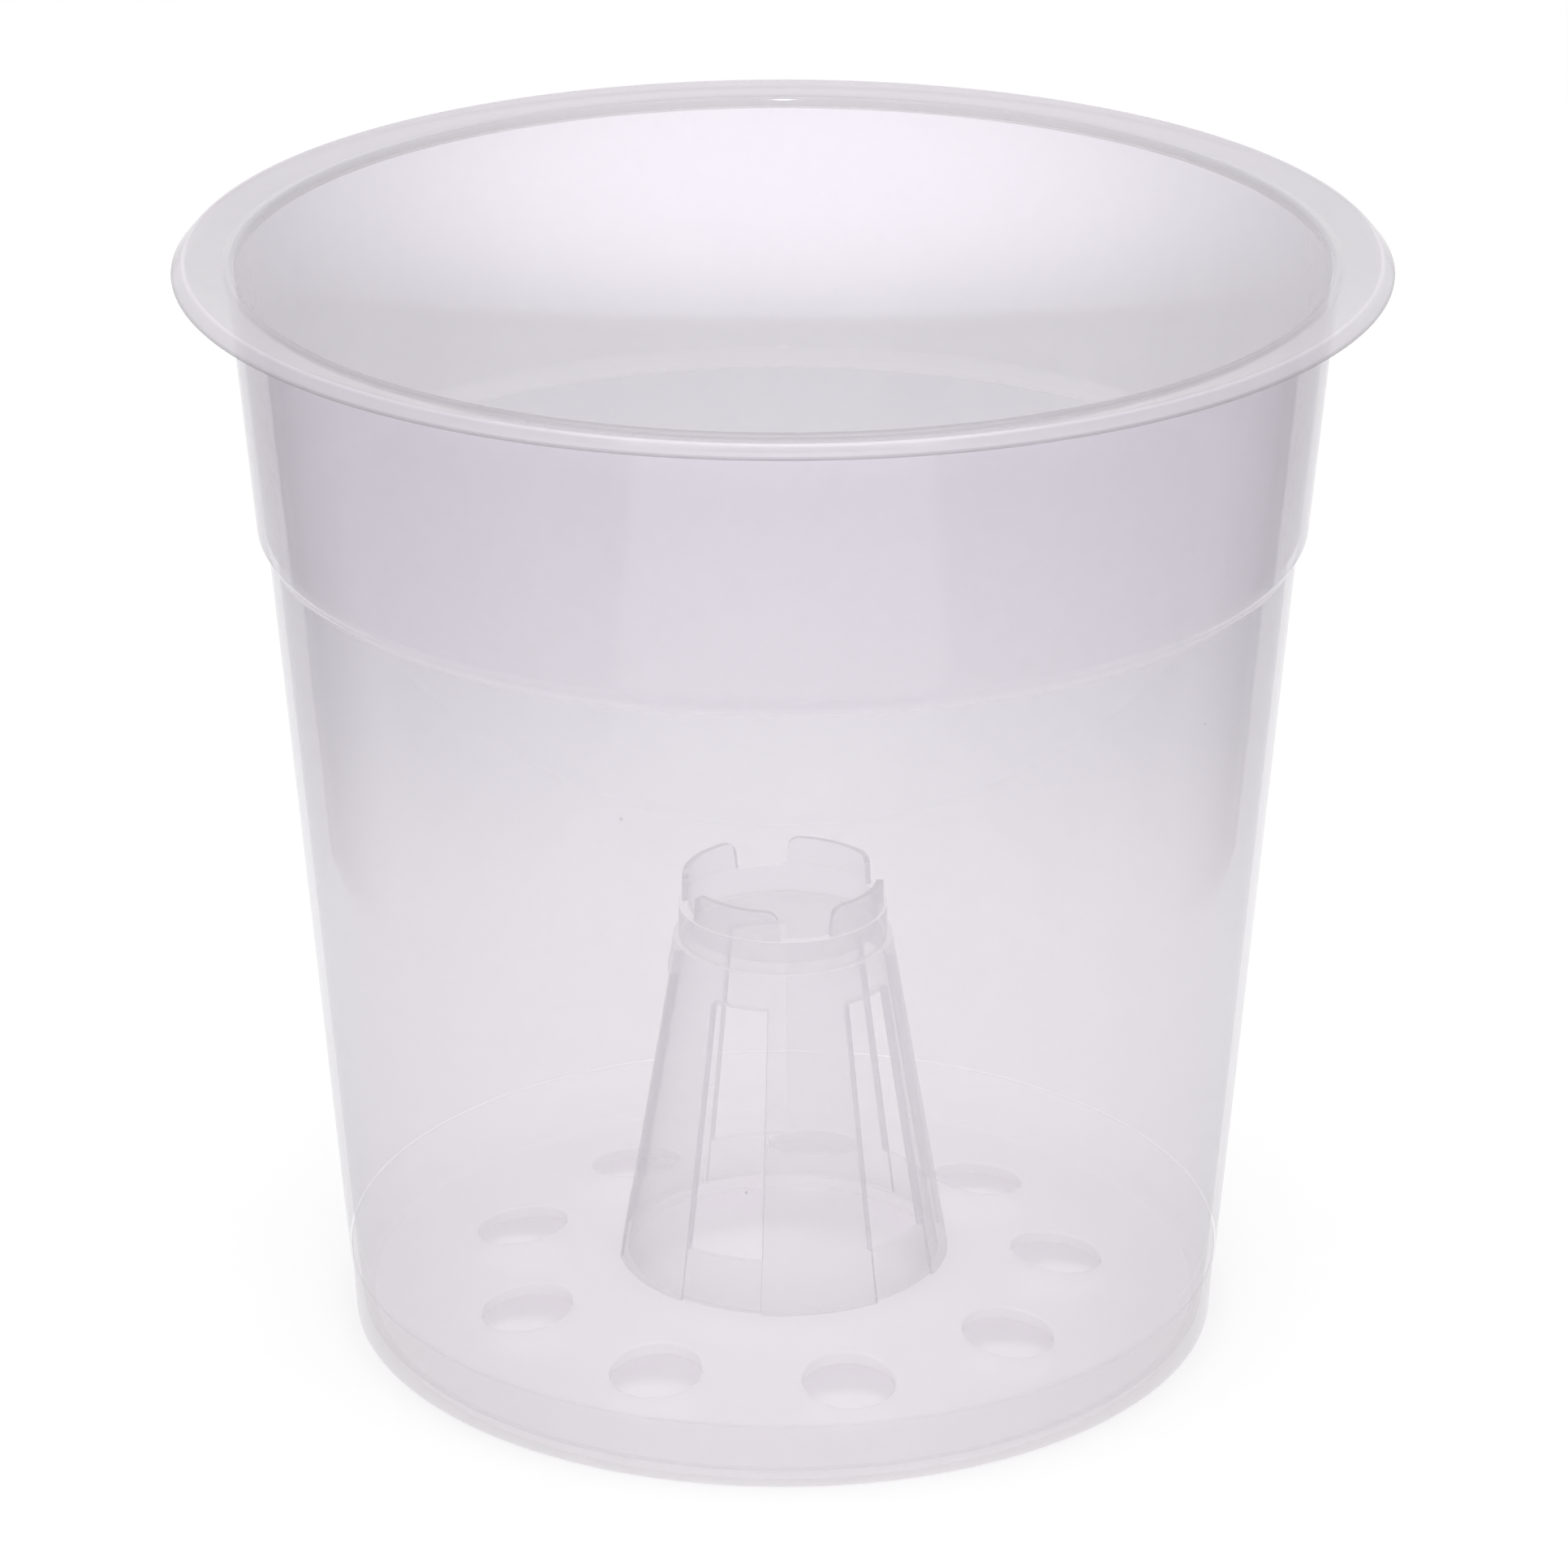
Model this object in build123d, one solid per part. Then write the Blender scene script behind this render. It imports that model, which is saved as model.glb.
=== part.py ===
from build123d import *
import os

# Clear orchid pot: a thin tapered shell on a narrow standing ring, with a domed floor, round drain
# holes and a hollow slotted air cone. Millimetres, +Z up. The origin is the centre of the standing
# plane, and radii are measured from the pot's axis.

# Rim: a bead round the mouth, a rising flange and a lip that turns down and flares out
rim_radius = 60.0
lip_flare = 1.2
lip_drop = 1.3
lip_thickness = 0.7
flange_width = 4.2
flange_rise = 1.8
flange_thickness = 0.9
bead_radius = 0.45
bead_rise = 1.2
groove_rise = 0.9

# Shell, measured outside: how much each stretch narrows on the way down, and how tall it is
wall_thickness = 0.8
collar_taper = 2.2
collar_height = 25.5
step_width = 1.1
step_height = 2.2
step_sweep_share = 0.75
wall_taper = 6.3
wall_height = 77.4

# Foot band, set in a little from the wall above it, and the flat ring that the pot stands on
foot_band_inset = 0.2
foot_band_taper = 0.4
foot_band_height = 6.9
standing_ring_width = 1.9

# Floor and drain holes, whose centres lie that share of the way from the cone to the standing ring
floor_thickness = 1.3
floor_rise = 3.9
drain_hole_radius = 4.7
drain_hole_count = 9
drain_hole_place_share = 0.45168

# Air cone, with its slots and the plain bands that it keeps above and below them
cone_foot_radius = 17.15
cone_taper = 5.95
cone_height = 35.2
cone_wall = 1.0
cone_foot_band = 5.4
cone_top_band = 3.7
slot_width_angle = 30
slot_count = 5
channel_depth = 0.35

# Crown on the cone
crown_ledge = 0.55
crown_wall = 1.0
crown_roof_thickness = 0.8
crown_ring_height = 3.4
lobe_height = 3.1
lobe_corner_radius = 1.3
lobe_width_angle = 58
lobe_count = 4

# Direction of the pot's mirror plane, on which a drain hole and a gap between lobes are centred
mirror_angle = -76.6

# How far a cut runs past what it cuts
overrun = 3.0

full_turn = 360

# Heights and radii that follow from the sizes above
wall_top_height = foot_band_height + wall_height
step_top_height = wall_top_height + step_height
collar_top_height = step_top_height + collar_height
flange_edge_radius = rim_radius - lip_flare
collar_top_radius = flange_edge_radius - flange_width
mouth_radius = collar_top_radius - wall_thickness
collar_low_radius = collar_top_radius - collar_taper
wall_top_radius = collar_low_radius - step_width
wall_low_radius = wall_top_radius - wall_taper
foot_band_radius = wall_low_radius - foot_band_inset
foot_radius = foot_band_radius - foot_band_taper
ring_inner_radius = foot_radius - standing_ring_width
cone_bore_radius = cone_foot_radius - cone_wall
cone_top_radius = cone_foot_radius - cone_taper
drain_hole_circle = cone_foot_radius + (ring_inner_radius - cone_foot_radius) * drain_hole_place_share
cone_foot_height = floor_thickness + floor_rise
cone_top_height = cone_foot_height + cone_height


def turned(outline):
    """Solid of revolution about the pot's axis, from a closed outline of radius and height."""
    return revolve(Plane.XZ * make_face(outline), Axis.Z)


def turned_ring(*points):
    """The same from the corners of a straight-sided outline."""
    return turned(Polyline(*points, close=True).edges())


def turned_wedge(width_angle, *points):
    """A straight-sided outline swept over width_angle degrees, centred on the +X direction."""
    profile = Plane.XZ * make_face(Polyline(*points, close=True).edges())
    return Rot(0, 0, -width_angle / 2) * revolve(profile, Axis.Z, revolution_arc=width_angle)


def around(shape, count, first_angle):
    """count copies of shape, evenly spaced about the pot's axis."""
    return [Rot(0, 0, first_angle + full_turn / count * i) * shape for i in range(count)]


def floor_top(radius):
    """Height of the floor's upper face, which rises evenly from the standing ring to the cone."""
    run = ring_inner_radius - cone_foot_radius
    return floor_thickness + floor_rise * (ring_inner_radius - radius) / run


def cone_radius(height):
    """Outer radius of the air cone at a height."""
    return cone_foot_radius - cone_taper * (height - cone_foot_height) / cone_height


def make_foot_ring():
    """Band at the foot of the wall with the flat ring that the pot stands on."""
    return turned_ring(
        (ring_inner_radius, 0),
        (foot_radius, 0),
        (foot_band_radius, foot_band_height),
        (wall_low_radius - wall_thickness, foot_band_height),
        (foot_radius - wall_thickness, floor_thickness),
        (ring_inner_radius, floor_thickness),
    )


def make_side_wall():
    """Tapered wall between the foot band and the stacking step."""
    return turned_ring(
        (wall_low_radius - wall_thickness, foot_band_height),
        (wall_low_radius, foot_band_height),
        (wall_top_radius, wall_top_height),
        (wall_top_radius - wall_thickness, wall_top_height),
    )


def step_curve(inset):
    """S-shaped stacking step, inset from the outer face by that much."""
    low = wall_top_radius - inset
    high = collar_low_radius - inset
    sweep = step_height * step_sweep_share
    return Bezier(
        (low, wall_top_height),
        (low, wall_top_height + sweep),
        (high, step_top_height - sweep),
        (high, step_top_height),
    )


def make_collar():
    """Stacking step and the straight wall above it, up to the rim."""
    outside = step_curve(0)
    inside = step_curve(wall_thickness)
    top = Polyline(
        (collar_low_radius, step_top_height),
        (collar_top_radius, collar_top_height),
        (mouth_radius, collar_top_height),
        (collar_low_radius - wall_thickness, step_top_height),
    )
    bottom = Line((wall_top_radius - wall_thickness, wall_top_height), (wall_top_radius, wall_top_height))
    return turned([outside.edge(), *top.edges(), inside.edge(), bottom.edge()])


def make_rim_flange():
    """Bead, flange and lip, from the collar's top outward."""
    groove_radius = mouth_radius + bead_radius * 2
    groove_height = collar_top_height + groove_rise
    bead_top_height = collar_top_height + bead_rise
    bead_shoulder_height = bead_top_height - bead_radius
    flange_edge_height = collar_top_height + flange_rise
    lip_height = flange_edge_height - lip_drop
    bead_side = Line((mouth_radius, collar_top_height), (mouth_radius, bead_shoulder_height))
    bead = ThreePointArc(
        (mouth_radius, bead_shoulder_height),
        (mouth_radius + bead_radius, bead_top_height),
        (groove_radius, groove_height),
    )
    flange_and_lip = Polyline(
        (groove_radius, groove_height),
        (flange_edge_radius, flange_edge_height),
        (rim_radius, lip_height),
        (rim_radius - lip_thickness, lip_height),
        (flange_edge_radius - lip_thickness / 2, flange_edge_height - flange_thickness),
        (collar_top_radius, collar_top_height),
        (mouth_radius, collar_top_height),
    )
    return turned([bead_side.edge(), bead.edge(), *flange_and_lip.edges()])


def make_floor():
    """Domed floor inside the standing ring, open under the cone, with its drain holes."""
    plate = turned_ring(
        (ring_inner_radius, 0),
        (ring_inner_radius, floor_thickness),
        (cone_bore_radius, floor_top(cone_bore_radius)),
        (cone_bore_radius, floor_top(cone_bore_radius) - floor_thickness),
    )
    drill_length = floor_top(cone_bore_radius) + 2 * overrun
    drill = Pos(drain_hole_circle, 0, drill_length / 2 - overrun) * Cylinder(drain_hole_radius, drill_length)
    return plate - around(drill, drain_hole_count, mirror_angle)


def make_slotted_cone():
    """Hollow cone on the floor, with tall slots that lie in shallow channels down to its foot."""
    cone = turned_ring(
        (cone_bore_radius, floor_top(cone_bore_radius)),
        (cone_foot_radius, cone_foot_height),
        (cone_top_radius, cone_top_height),
        (cone_top_radius - cone_wall, cone_top_height),
    )
    slot_low_height = cone_foot_height + cone_foot_band
    slot_high_height = cone_top_height - cone_top_band
    past_outside = cone_foot_radius + overrun
    past_inside = cone_top_radius - cone_wall - overrun
    channel = turned_wedge(
        slot_width_angle,
        (cone_foot_radius - channel_depth, cone_foot_height),
        (past_outside, cone_foot_height),
        (past_outside, slot_high_height),
        (cone_radius(slot_high_height) - channel_depth, slot_high_height),
    )
    slot = turned_wedge(
        slot_width_angle,
        (past_inside, slot_low_height),
        (past_outside, slot_low_height),
        (past_outside, slot_high_height),
        (past_inside, slot_high_height),
    )
    first_angle = mirror_angle + full_turn / slot_count / 2
    return cone - around(channel, slot_count, first_angle) - around(slot, slot_count, first_angle)


def make_cone_crown():
    """Closed ring on the cone, its roof recessed, with rounded lobes standing on it."""
    crown_radius = cone_top_radius - crown_ledge
    bore = crown_radius - crown_wall
    roof_top = cone_top_height + crown_roof_thickness
    ring_top = cone_top_height + crown_ring_height
    lobe_top = ring_top + lobe_height
    cup = turned_ring(
        (0, cone_top_height),
        (crown_radius, cone_top_height),
        (crown_radius, lobe_top),
        (bore, lobe_top),
        (bore, roof_top),
        (0, roof_top),
    )
    gap = turned_wedge(
        full_turn / lobe_count - lobe_width_angle,
        (bore - overrun, ring_top),
        (crown_radius + overrun, ring_top),
        (crown_radius + overrun, lobe_top + overrun),
        (bore - overrun, lobe_top + overrun),
    )
    crown = cup - around(gap, lobe_count, mirror_angle)
    corners = crown.edges().filter_by(GeomType.LINE).group_by(Axis.Z)[-1]
    return fillet(corners, lobe_corner_radius)


parts = {
    "rim_flange": make_rim_flange(),
    "collar": make_collar(),
    "side_wall": make_side_wall(),
    "foot_ring": make_foot_ring(),
    "floor": make_floor(),
    "slotted_cone": make_slotted_cone(),
    "cone_crown": make_cone_crown(),
}

os.makedirs("parts", exist_ok=True)
for name, shape in parts.items():
    export_step(shape, f"parts/{name}.step")
    print(name, round(shape.volume, 1), shape.bounding_box())
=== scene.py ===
"""Clear orchid pot with a slotted air cone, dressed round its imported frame. Metres, +Z up, and the
origin is the centre of the ring that the pot stands on."""

from math import pi, radians
from types import SimpleNamespace

import bpy
import numpy as np
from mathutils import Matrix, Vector


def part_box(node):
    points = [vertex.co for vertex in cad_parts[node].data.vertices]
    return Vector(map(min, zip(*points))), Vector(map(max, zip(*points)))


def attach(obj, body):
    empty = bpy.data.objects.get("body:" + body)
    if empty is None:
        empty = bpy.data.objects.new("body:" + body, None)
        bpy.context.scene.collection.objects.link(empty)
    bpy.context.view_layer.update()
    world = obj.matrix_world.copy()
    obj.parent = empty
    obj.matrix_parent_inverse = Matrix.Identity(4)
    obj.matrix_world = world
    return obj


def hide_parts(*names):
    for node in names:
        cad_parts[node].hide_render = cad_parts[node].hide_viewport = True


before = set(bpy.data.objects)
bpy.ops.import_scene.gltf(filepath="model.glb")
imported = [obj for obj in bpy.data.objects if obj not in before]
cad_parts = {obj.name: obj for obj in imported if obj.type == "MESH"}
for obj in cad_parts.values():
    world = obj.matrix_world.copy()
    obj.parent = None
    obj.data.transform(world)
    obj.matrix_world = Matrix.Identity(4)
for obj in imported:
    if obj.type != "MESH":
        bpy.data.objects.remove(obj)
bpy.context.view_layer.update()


# Rim flange: the outward rim of the pot, thin and slightly raised towards its edge, with a fine bead
# round the mouth and a short lip that turns down and flares out. It is clear plastic, injected in
# one shot with the rest of the pot, so it is grown into the collar under it.
rim_low, rim_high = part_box("rim_flange")
collar_low, collar_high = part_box("collar")
rim_radius = rim_high.x
collar_radius = collar_high.x
wall = 0.0008
mouth_radius = collar_radius - wall
bead_width = 0.0009
bead_drop = 0.0006
bead_crest_share = 0.9
groove_share = 1.4
groove_drop = 0.0009
lip_flare = 0.0012
lip_drop = 0.0013
lip_thickness = 0.0007
flange_thickness = 0.0009
joint_cut = 0.00001

# Heights that differ by less than this are the same
hair = 1e-7


def soft_outline(rows, steps=6):
    """Closed outline of (radius, height) from rows of radius, height and cut. Each corner is a
    quadratic curve that leaves one side a length cut before the corner, aims at the corner and joins
    the next side the same length past it."""
    corner, cut = np.split(np.array(rows), [2], axis=1)
    before = np.roll(corner, 1, axis=0) - corner
    after = np.roll(corner, -1, axis=0) - corner
    before *= cut / np.linalg.norm(before, axis=1, keepdims=True)
    after *= cut / np.linalg.norm(after, axis=1, keepdims=True)
    t = np.linspace(0, 1, steps)[None, :, None]
    curves = corner[:, None] + (1 - t) ** 2 * before[:, None] + t**2 * after[:, None]
    return curves.reshape(-1, 2)


def spun(outline, around=288):
    """The outline carried round the pot's axis. Point (i, j) is outline point j turned by the angle
    a = 2 pi i / around: x = r cos a, y = r sin a, z = height."""
    angle = np.linspace(0, 2 * pi, around, endpoint=False)[:, None]
    radius, height = outline[None, :, 0], outline[None, :, 1]
    return np.stack([radius * np.cos(angle), radius * np.sin(angle), height + 0 * angle], axis=-1)


def numbered(points):
    """The points' numbers, in the shape of their grid."""
    return np.arange(points[..., 0].size).reshape(points.shape[:-1])


def quads(points, kept=...):
    """Four-cornered faces of a grid of points that closes on itself both ways. kept leaves out the
    cells where it is false."""
    here = numbered(points)
    next_i = np.roll(here, -1, axis=0)
    next_j = np.roll(here, -1, axis=1)
    next_both = np.roll(next_i, -1, axis=1)
    return np.stack([here, next_i, next_both, next_j], axis=-1)[kept].reshape(-1, 4)


def make_piece(name, places, faces, joined):
    """A named piece from an array of places and one of faces. Points that coincide are merged and
    sharp edges stay crisp. joined takes the radii and heights of the faces' middles and says which
    faces are grown into the next piece: the attribute "joined" is 1 there."""
    merge_distance = 1e-6
    crisp_angle = radians(35)
    used, faces = np.unique(faces, return_inverse=True)
    places = places.reshape(-1, 3)[used]
    faces = faces.reshape(-1, 4)
    middle = places[faces].mean(axis=1)
    grown = joined(np.hypot(middle[:, 0], middle[:, 1]), middle[:, 2])
    loose = bpy.data.meshes.new(name)
    loose.from_pydata(places, [], faces.tolist())
    loose.attributes.new("joined", "FLOAT", "FACE").data.foreach_set("value", grown.astype(float))
    piece = bpy.data.objects.new(name, loose)
    bpy.context.scene.collection.objects.link(piece)
    weld = piece.modifiers.new("weld", "WELD")
    weld.merge_threshold = merge_distance
    graph = bpy.context.evaluated_depsgraph_get()
    welded = bpy.data.meshes.new_from_object(piece.evaluated_get(graph))
    piece.modifiers.clear()
    piece.data = welded
    bpy.data.meshes.remove(loose)
    welded.name = name
    welded.shade_smooth()
    welded.set_sharp_from_angle(angle=crisp_angle)
    return piece


rim_outline = soft_outline(
    [  # radius, height, and how far the corner is cut back
        (mouth_radius, rim_low.z, joint_cut),
        (mouth_radius, rim_high.z - bead_drop, 0.0004),
        (mouth_radius + bead_width * bead_crest_share, rim_high.z - bead_drop, 0.00025),
        (mouth_radius + bead_width * groove_share, rim_high.z - groove_drop, 0.0003),
        (rim_radius - lip_flare, rim_high.z, 0.0004),
        (rim_radius, rim_high.z - lip_drop, 0.00003),
        (rim_radius - lip_thickness, rim_high.z - lip_drop, 0.00015),
        (rim_radius - lip_flare - lip_thickness / 2, rim_high.z - flange_thickness, 0.0003),
        (collar_radius, rim_low.z, joint_cut),
    ]
)
rim_points = spun(rim_outline[::-1])
rim = make_piece(
    "rim_flange_skin",
    rim_points,
    quads(rim_points),
    joined=lambda radius, height: height < rim_low.z + hair,
)
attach(rim, "root")
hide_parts("rim_flange")

# Colours of the clear plastic. Its cold cast is a lilac, which leans to violet in the upper wall and
# to pink in the floor and the cone.
lilac = np.array([1.0, 0.948, 1.015])
violet = np.array([1.0, 0.935, 1.05])
pink = np.array([1.0, 0.955, 0.99])


def tone(level, cast=0.0):
    """A colour of that level. cast runs from -1, pink, through 0, lilac, to 1, violet, and is a
    straight mix between them."""
    to_violet, to_pink = max(cast, 0), max(-cast, 0)
    hue = lilac * (1 - to_violet - to_pink) + violet * to_violet + pink * to_pink
    return tuple(float(value) for value in level * hue)


def maths(tree, operation, first, second=0.0, clamp=False):
    """A Math node. A number is set on its socket, and anything else is linked to it."""
    node = tree.nodes.new("ShaderNodeMath")
    node.operation = operation
    node.use_clamp = clamp
    for socket, value in zip(node.inputs, (first, second)):
        if isinstance(value, (int, float)):
            socket.default_value = value
        else:
            tree.links.new(value, socket)
    return node.outputs[0]


def product(tree, first, *others):
    """The values, multiplied one after the other."""
    for other in others:
        first = maths(tree, "MULTIPLY", first, other)
    return first


def rest(tree, value):
    """1 less the value."""
    return maths(tree, "SUBTRACT", 1.0, value)


def vector_maths(tree, operation, first, second=None):
    """A Vector Math node. A tuple is set on its socket, and anything else is linked to it."""
    node = tree.nodes.new("ShaderNodeVectorMath")
    node.operation = operation
    for socket, value in zip(node.inputs, (first, second)):
        if isinstance(value, tuple):
            socket.default_value = value
        elif value is not None:
            tree.links.new(value, socket)
    return node.outputs["Value" if operation in ("LENGTH", "DOT_PRODUCT") else "Vector"]


def blend(tree, share, first, second, kind="MIX"):
    """A Mix node for colours, from the first to the second as share goes from 0 to 1."""
    node = tree.nodes.new("ShaderNodeMix")
    node.data_type = "RGBA"
    node.blend_type = kind
    for socket, value in ((node.inputs[0], share), (node.inputs[6], first), (node.inputs[7], second)):
        if isinstance(value, bpy.types.NodeSocket):
            tree.links.new(value, socket)
        elif isinstance(value, tuple):
            socket.default_value = (*value, 1)
        else:
            socket.default_value = value
    return node.outputs[2]


def ramp(tree, value, stops):
    """Greys along value, straight between the stops, which are pairs of value and grey."""
    start, end = stops[0][0], stops[-1][0]
    node = tree.nodes.new("ShaderNodeValToRGB")
    points = node.color_ramp.elements
    for at, _ in stops[1:-1]:
        points.new((at - start) / (end - start))
    for point, (_, grey) in zip(points, stops):
        point.color = (grey, grey, grey, 1)
    along = maths(tree, "SUBTRACT", value, start)
    along = maths(tree, "DIVIDE", along, end - start, clamp=True)
    tree.links.new(along, node.inputs[0])
    return node.outputs[0]


def noise(tree, place, stretch, scale, detail):
    """Soft noise over the places, multiplied by stretch along each axis and then by scale."""
    mapping = tree.nodes.new("ShaderNodeMapping")
    mapping.inputs["Scale"].default_value = stretch
    tree.links.new(place, mapping.inputs["Vector"])
    node = tree.nodes.new("ShaderNodeTexNoise")
    node.inputs["Scale"].default_value = scale
    node.inputs["Detail"].default_value = detail
    tree.links.new(mapping.outputs[0], node.inputs["Vector"])
    return node.outputs["Fac"]


def new_group(name, inputs, outputs):
    """A node group with named inputs, which have a usual value each, and named outputs. Gives the
    group, its inputs, its outputs, and the place on the pot in it."""
    group = bpy.data.node_groups.new(name, "ShaderNodeTree")
    for label, usual in inputs.items():
        socket = group.interface.new_socket(name=label, in_out="INPUT", socket_type="NodeSocketFloat")
        socket.default_value = usual
    for label in outputs:
        group.interface.new_socket(name=label, in_out="OUTPUT", socket_type="NodeSocketFloat")
    place = group.nodes.new("ShaderNodeTexCoord").outputs["Object"]
    given = group.nodes.new("NodeGroupInput").outputs
    return group, given, group.nodes.new("NodeGroupOutput").inputs, place


def placed(tree, group):
    """The group in a tree, with the usual value on each of its inputs. Gives its outputs."""
    node = tree.nodes.new("ShaderNodeGroup")
    node.node_tree = group
    return node.outputs


# Marks of the moulding. Flow is streaks up the wall where the plastic ran, Cloud a fine milkiness
# and Gloss uneven polish: how far each one moves Haze or Roughness, which vary round 1. Waves is
# the height of slight waves in a face, and Speck is 1 in sparse dark specks.
marks_group, marks_given, marks_out, marks_place = new_group(
    "moulding_marks",
    {"Flow": 0.22, "Cloud": 0.07, "Gloss": 0.12},
    ("Haze", "Roughness", "Waves", "Speck"),
)
wave_grain_share = 0.004
speck_scale = 70
speck_radius = 0.014
speck_share = 0.5
flow = noise(marks_group, marks_place, stretch=(1, 1, 0.35), scale=45, detail=3)
cloud = noise(marks_group, marks_place, stretch=(1, 1, 1), scale=420, detail=4)
grain = noise(marks_group, marks_place, stretch=(1, 1, 1), scale=1500, detail=2)
waves = noise(marks_group, marks_place, stretch=(1, 1, 1.6), scale=70, detail=1)
flow_move = product(marks_group, maths(marks_group, "SUBTRACT", flow, 0.5), marks_given["Flow"])
cloud_move = product(marks_group, maths(marks_group, "SUBTRACT", cloud, 0.5), marks_given["Cloud"])
gloss_move = product(marks_group, maths(marks_group, "SUBTRACT", cloud, 0.5), marks_given["Gloss"])
haze = maths(marks_group, "ADD", maths(marks_group, "ADD", flow_move, cloud_move), 1.0)
wave_height = maths(marks_group, "ADD", waves, product(marks_group, grain, wave_grain_share))
cells = marks_group.nodes.new("ShaderNodeTexVoronoi")
cells.inputs["Scale"].default_value = speck_scale
marks_group.links.new(marks_place, cells.inputs["Vector"])
cell_chance = marks_group.nodes.new("ShaderNodeSeparateColor")
marks_group.links.new(cells.outputs["Color"], cell_chance.inputs[0])
in_speck = maths(marks_group, "LESS_THAN", cells.outputs["Distance"], speck_radius)
picked = maths(marks_group, "GREATER_THAN", cell_chance.outputs[0], speck_share)
marks_group.links.new(haze, marks_out["Haze"])
marks_group.links.new(maths(marks_group, "ADD", gloss_move, 1.0), marks_out["Roughness"])
marks_group.links.new(wave_height, marks_out["Waves"])
marks_group.links.new(product(marks_group, in_speck, picked), marks_out["Speck"])

# Where a point is on the pot: its distance from the axis, its height, and whether its face looks
# away from the axis, which is where the length of the plan place along the normal is over a limit.
pot_group, pot_given, pot_out, pot_place = new_group(
    "place_on_pot", {"Outside from": -0.002}, ("Radius", "Height", "Outside")
)
pot_normal = pot_group.nodes.new("ShaderNodeNewGeometry").outputs["Normal"]
pot_plan = vector_maths(pot_group, "MULTIPLY", pot_place, (1, 1, 0))
pot_axes = pot_group.nodes.new("ShaderNodeSeparateXYZ")
pot_group.links.new(pot_place, pot_axes.inputs[0])
looks_out = vector_maths(pot_group, "DOT_PRODUCT", pot_plan, pot_normal)
looks_out = maths(pot_group, "GREATER_THAN", looks_out, pot_given["Outside from"])
pot_group.links.new(vector_maths(pot_group, "LENGTH", pot_plan), pot_out["Radius"])
pot_group.links.new(pot_axes.outputs["Z"], pot_out["Height"])
pot_group.links.new(looks_out, pot_out["Outside"])


def empty_material(name):
    """A material whose node tree has nothing in it yet."""
    material = bpy.data.materials.new(name)
    material.use_nodes = True
    material.node_tree.nodes.clear()
    return material


def start_plastic(name):
    """A clear plastic with its two groups placed, for a section to add its own colours to."""
    material = empty_material(name)
    tree = material.node_tree
    marks, place = placed(tree, marks_group), placed(tree, pot_group)
    return SimpleNamespace(material=material, tree=tree, marks=marks, place=place)


def finish_plastic(
    plastic, share, face, grazed, roughness, edge=0.8, edge_power=12.0, light_share=1.0, covers=()
):
    """Completes a clear plastic. A wall is two faces with nothing between them. Straight light gets
    through each by share to the power of half its path in the wall, which is 1 over the cosine of
    the bent ray. The rest of it shows the colour face, or grazed at glancing angles, where the
    plastic also closes, by edge times Facing to the power edge_power. Light that only passes on to
    something else meets light_share of the cloud. covers are (mask, cloud, colour) for faces that
    look denser than the rest, and their colours are painted light and shade. A face that is grown
    into the next piece is left fully clear."""
    refraction = 1.49
    grazed_power = 4.0
    speck_cloud = 0.4
    speck_depth = 0.5
    speck_colour = (0.12, 0.11, 0.13)
    wave_depth = 0.00005
    tree, marks = plastic.tree, plastic.marks
    nodes, links = tree.nodes, tree.links
    joined = nodes.new("ShaderNodeAttribute")
    joined.attribute_name = "joined"
    rays = nodes.new("ShaderNodeLightPath").outputs
    layer = nodes.new("ShaderNodeLayerWeight")
    layer.inputs["Blend"].default_value = 0.5
    facing = layer.outputs["Facing"]

    cosine = rest(tree, facing)
    sine_squared = rest(tree, product(tree, cosine, cosine))
    bent_sine_squared = maths(tree, "DIVIDE", sine_squared, refraction**2)
    path = maths(tree, "DIVIDE", 1.0, maths(tree, "SQRT", rest(tree, bent_sine_squared)))
    seen = maths(tree, "MAXIMUM", rays["Is Camera Ray"], rays["Is Glossy Ray"])
    density = maths(tree, "ADD", product(tree, seen, 1.0 - light_share), light_share)
    density = product(tree, density, marks["Haze"], 0.5)
    clear = maths(tree, "POWER", share, product(tree, path, density))
    closing = product(tree, maths(tree, "POWER", facing, edge_power), edge)
    clear = product(tree, clear, rest(tree, closing))
    clear = product(tree, clear, rest(tree, product(tree, marks["Speck"], speck_cloud)))
    colour = blend(tree, maths(tree, "POWER", facing, grazed_power), face, grazed)
    for mask, cover_cloud, cover_colour in covers:
        clear = product(tree, clear, rest(tree, product(tree, mask, cover_cloud)))
        colour = blend(tree, mask, colour, cover_colour)
    colour = blend(tree, product(tree, marks["Speck"], speck_depth), colour, speck_colour)

    surface = nodes.new("ShaderNodeBsdfPrincipled")
    surface.inputs["IOR"].default_value = refraction
    bump = nodes.new("ShaderNodeBump")
    bump.inputs["Strength"].default_value = 1.0
    bump.inputs["Distance"].default_value = wave_depth
    there = rest(tree, joined.outputs["Fac"])
    links.new(product(tree, rest(tree, clear), there), surface.inputs["Alpha"])
    links.new(colour, surface.inputs["Base Color"])
    links.new(product(tree, marks["Roughness"], roughness), surface.inputs["Roughness"])
    links.new(marks["Waves"], bump.inputs["Height"])
    links.new(bump.outputs[0], surface.inputs["Normal"])
    output = nodes.new("ShaderNodeOutputMaterial")
    links.new(surface.outputs[0], output.inputs[0])
    return plastic.material
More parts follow.
